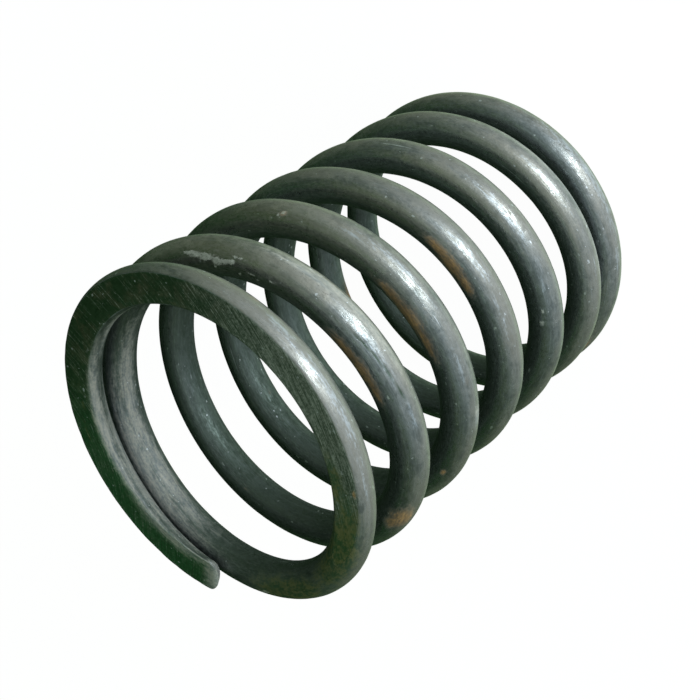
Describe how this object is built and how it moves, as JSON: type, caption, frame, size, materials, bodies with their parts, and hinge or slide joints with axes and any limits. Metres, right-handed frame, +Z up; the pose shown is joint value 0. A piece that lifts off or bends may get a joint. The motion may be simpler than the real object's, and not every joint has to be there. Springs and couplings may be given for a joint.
{
  "type": "coil spring",
  "caption": "Helical compression spring of round steel wire with closed, ground ends, standing upright on its lower seat; it shortens under load.",
  "frame": {"origin": "centre of the lower ground face, on the spring's axis", "axes": "+Z up the spring's axis from the lower seat to the upper seat, +X towards the wire's two tips"},
  "size_m": [0.116, 0.116, 0.1623],
  "materials": {
    "spring_steel": "dark drawn spring steel wire with a thin oxide skin, worn bright in scratches and nicks and lightly rusted in places"
  },
  "bodies": {
    "lower_end": {"lower_end_coil": "spring_steel"},
    "coil_2_second_quarter": {"coil_2_second_quarter": "spring_steel"},
    "coil_2_third_quarter": {"coil_2_third_quarter": "spring_steel"},
    "coil_2_fourth_quarter": {"coil_2_fourth_quarter": "spring_steel"},
    "coil_3_first_quarter": {"coil_3_first_quarter": "spring_steel"},
    "coil_3_second_quarter": {"coil_3_second_quarter": "spring_steel"},
    "coil_3_third_quarter": {"coil_3_third_quarter": "spring_steel"},
    "coil_3_fourth_quarter": {"coil_3_fourth_quarter": "spring_steel"},
    "coil_4_first_quarter": {"coil_4_first_quarter": "spring_steel"},
    "coil_4_second_quarter": {"coil_4_second_quarter": "spring_steel"},
    "coil_4_third_quarter": {"coil_4_third_quarter": "spring_steel"},
    "coil_4_fourth_quarter": {"coil_4_fourth_quarter": "spring_steel"},
    "coil_5_first_quarter": {"coil_5_first_quarter": "spring_steel"},
    "coil_5_second_quarter": {"coil_5_second_quarter": "spring_steel"},
    "coil_5_third_quarter": {"coil_5_third_quarter": "spring_steel"},
    "coil_5_fourth_quarter": {"coil_5_fourth_quarter": "spring_steel"},
    "coil_6_first_quarter": {"coil_6_first_quarter": "spring_steel"},
    "coil_6_second_quarter": {"coil_6_second_quarter": "spring_steel"},
    "coil_6_third_quarter": {"coil_6_third_quarter": "spring_steel"},
    "upper_end": {"upper_end_coil": "spring_steel"}
  },
  "joints": [
    {"name": "compression", "type": "slide", "parent": "lower_end", "child": "upper_end", "axis": [0, 0, -1], "range_m": [0, 0.066], "stiffness_N_per_m": 36500},
    {"name": "coil_2_second_quarter_sink", "type": "slide", "parent": "lower_end", "child": "coil_2_second_quarter", "axis": [0, 0, -1], "range_m": [0, 0.00183]},
    {"name": "coil_2_third_quarter_sink", "type": "slide", "parent": "lower_end", "child": "coil_2_third_quarter", "axis": [0, 0, -1], "range_m": [0, 0.0055]},
    {"name": "coil_2_fourth_quarter_sink", "type": "slide", "parent": "lower_end", "child": "coil_2_fourth_quarter", "axis": [0, 0, -1], "range_m": [0, 0.00917]},
    {"name": "coil_3_first_quarter_sink", "type": "slide", "parent": "lower_end", "child": "coil_3_first_quarter", "axis": [0, 0, -1], "range_m": [0, 0.01283]},
    {"name": "coil_3_second_quarter_sink", "type": "slide", "parent": "lower_end", "child": "coil_3_second_quarter", "axis": [0, 0, -1], "range_m": [0, 0.0165]},
    {"name": "coil_3_third_quarter_sink", "type": "slide", "parent": "lower_end", "child": "coil_3_third_quarter", "axis": [0, 0, -1], "range_m": [0, 0.02017]},
    {"name": "coil_3_fourth_quarter_sink", "type": "slide", "parent": "lower_end", "child": "coil_3_fourth_quarter", "axis": [0, 0, -1], "range_m": [0, 0.02384]},
    {"name": "coil_4_first_quarter_sink", "type": "slide", "parent": "lower_end", "child": "coil_4_first_quarter", "axis": [0, 0, -1], "range_m": [0, 0.0275]},
    {"name": "coil_4_second_quarter_sink", "type": "slide", "parent": "lower_end", "child": "coil_4_second_quarter", "axis": [0, 0, -1], "range_m": [0, 0.03117]},
    {"name": "coil_4_third_quarter_sink", "type": "slide", "parent": "lower_end", "child": "coil_4_third_quarter", "axis": [0, 0, -1], "range_m": [0, 0.03483]},
    {"name": "coil_4_fourth_quarter_sink", "type": "slide", "parent": "lower_end", "child": "coil_4_fourth_quarter", "axis": [0, 0, -1], "range_m": [0, 0.0385]},
    {"name": "coil_5_first_quarter_sink", "type": "slide", "parent": "lower_end", "child": "coil_5_first_quarter", "axis": [0, 0, -1], "range_m": [0, 0.04217]},
    {"name": "coil_5_second_quarter_sink", "type": "slide", "parent": "lower_end", "child": "coil_5_second_quarter", "axis": [0, 0, -1], "range_m": [0, 0.04584]},
    {"name": "coil_5_third_quarter_sink", "type": "slide", "parent": "lower_end", "child": "coil_5_third_quarter", "axis": [0, 0, -1], "range_m": [0, 0.0495]},
    {"name": "coil_5_fourth_quarter_sink", "type": "slide", "parent": "lower_end", "child": "coil_5_fourth_quarter", "axis": [0, 0, -1], "range_m": [0, 0.05317]},
    {"name": "coil_6_first_quarter_sink", "type": "slide", "parent": "lower_end", "child": "coil_6_first_quarter", "axis": [0, 0, -1], "range_m": [0, 0.05684]},
    {"name": "coil_6_second_quarter_sink", "type": "slide", "parent": "lower_end", "child": "coil_6_second_quarter", "axis": [0, 0, -1], "range_m": [0, 0.0605]},
    {"name": "coil_6_third_quarter_sink", "type": "slide", "parent": "lower_end", "child": "coil_6_third_quarter", "axis": [0, 0, -1], "range_m": [0, 0.06417]}
  ],
  "couplings": [
    {"joint": "coil_2_second_quarter_sink", "follows": "compression", "ratio": 0.027778},
    {"joint": "coil_2_third_quarter_sink", "follows": "compression", "ratio": 0.083333},
    {"joint": "coil_2_fourth_quarter_sink", "follows": "compression", "ratio": 0.13889},
    {"joint": "coil_3_first_quarter_sink", "follows": "compression", "ratio": 0.19444},
    {"joint": "coil_3_second_quarter_sink", "follows": "compression", "ratio": 0.25},
    {"joint": "coil_3_third_quarter_sink", "follows": "compression", "ratio": 0.30556},
    {"joint": "coil_3_fourth_quarter_sink", "follows": "compression", "ratio": 0.36111},
    {"joint": "coil_4_first_quarter_sink", "follows": "compression", "ratio": 0.41667},
    {"joint": "coil_4_second_quarter_sink", "follows": "compression", "ratio": 0.47222},
    {"joint": "coil_4_third_quarter_sink", "follows": "compression", "ratio": 0.52778},
    {"joint": "coil_4_fourth_quarter_sink", "follows": "compression", "ratio": 0.58333},
    {"joint": "coil_5_first_quarter_sink", "follows": "compression", "ratio": 0.63889},
    {"joint": "coil_5_second_quarter_sink", "follows": "compression", "ratio": 0.69444},
    {"joint": "coil_5_third_quarter_sink", "follows": "compression", "ratio": 0.75},
    {"joint": "coil_5_fourth_quarter_sink", "follows": "compression", "ratio": 0.80556},
    {"joint": "coil_6_first_quarter_sink", "follows": "compression", "ratio": 0.86111},
    {"joint": "coil_6_second_quarter_sink", "follows": "compression", "ratio": 0.91667},
    {"joint": "coil_6_third_quarter_sink", "follows": "compression", "ratio": 0.97222}
  ]
}
